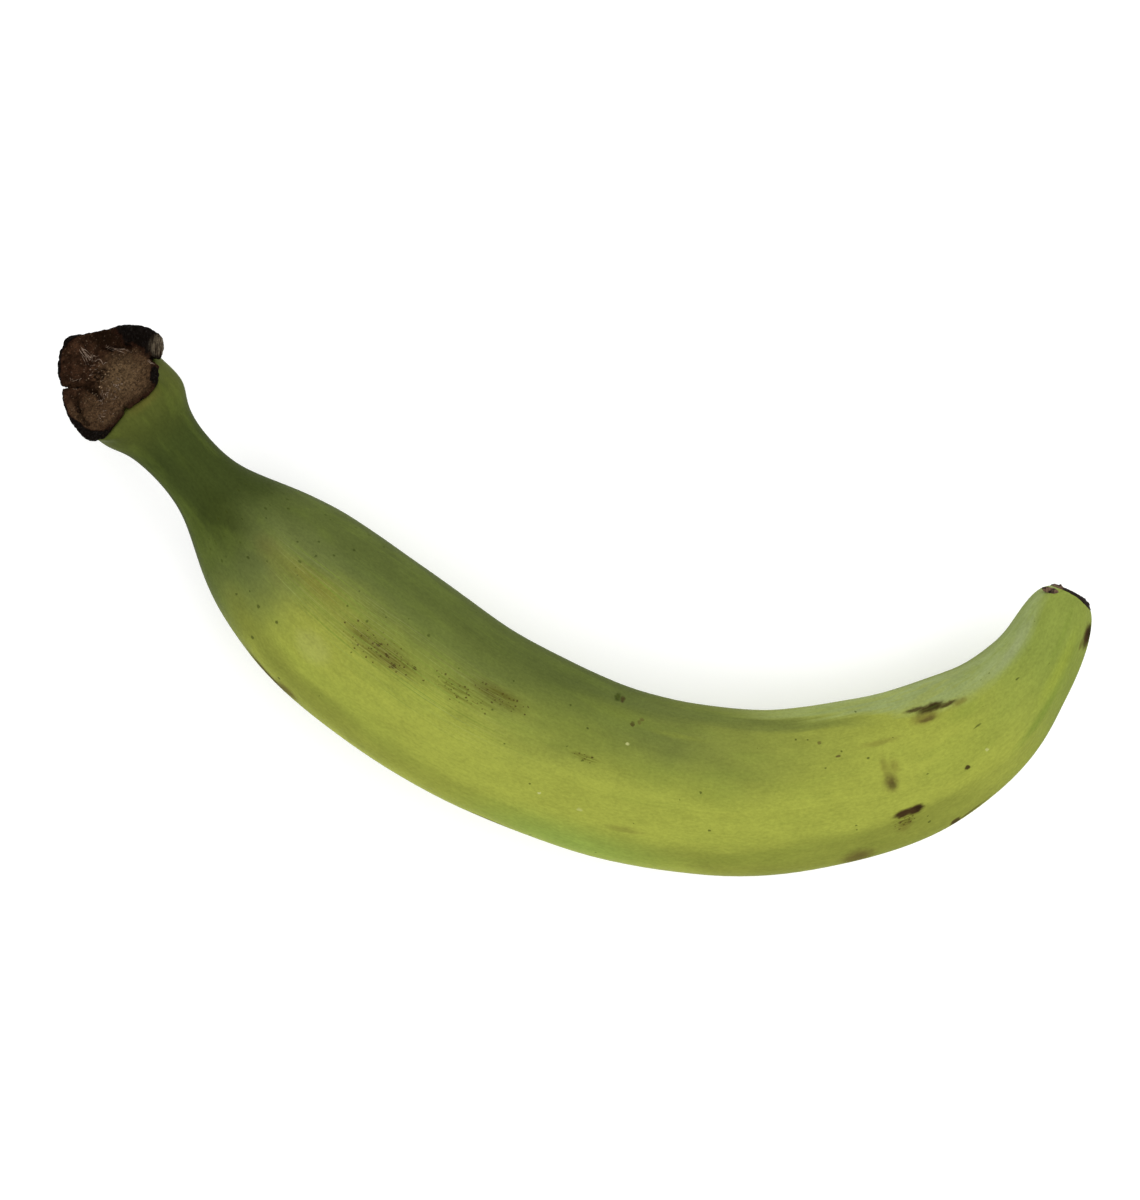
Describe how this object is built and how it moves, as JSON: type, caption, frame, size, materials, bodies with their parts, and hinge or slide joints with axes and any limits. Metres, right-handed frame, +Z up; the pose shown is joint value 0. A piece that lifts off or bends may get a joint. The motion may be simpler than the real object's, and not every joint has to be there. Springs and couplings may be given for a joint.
{
  "type": "plantain",
  "caption": "Unripe green plantain with a long neck and a dried, slant-cut crown, lying on its side with the bend flat on the surface.",
  "frame": {"origin": "middle of the fruit's bounding box seen from above, on the surface that it lies on", "axes": "+X along the fruit's longest extent from the crown end to the tip end, +Y towards the hollow side of the bend, +Z up from the surface"},
  "size_m": [0.2593, 0.1386, 0.0422],
  "materials": {
    "peel": "waxy green peel, yellower along the belly and dark at the neck, with brown scars and specks",
    "dried_crown": "dry, dark brown, fibrous cut face of the crown with a blackened rim"
  },
  "bodies": {
    "root": {"plantain": "peel"}
  },
  "joints": []
}
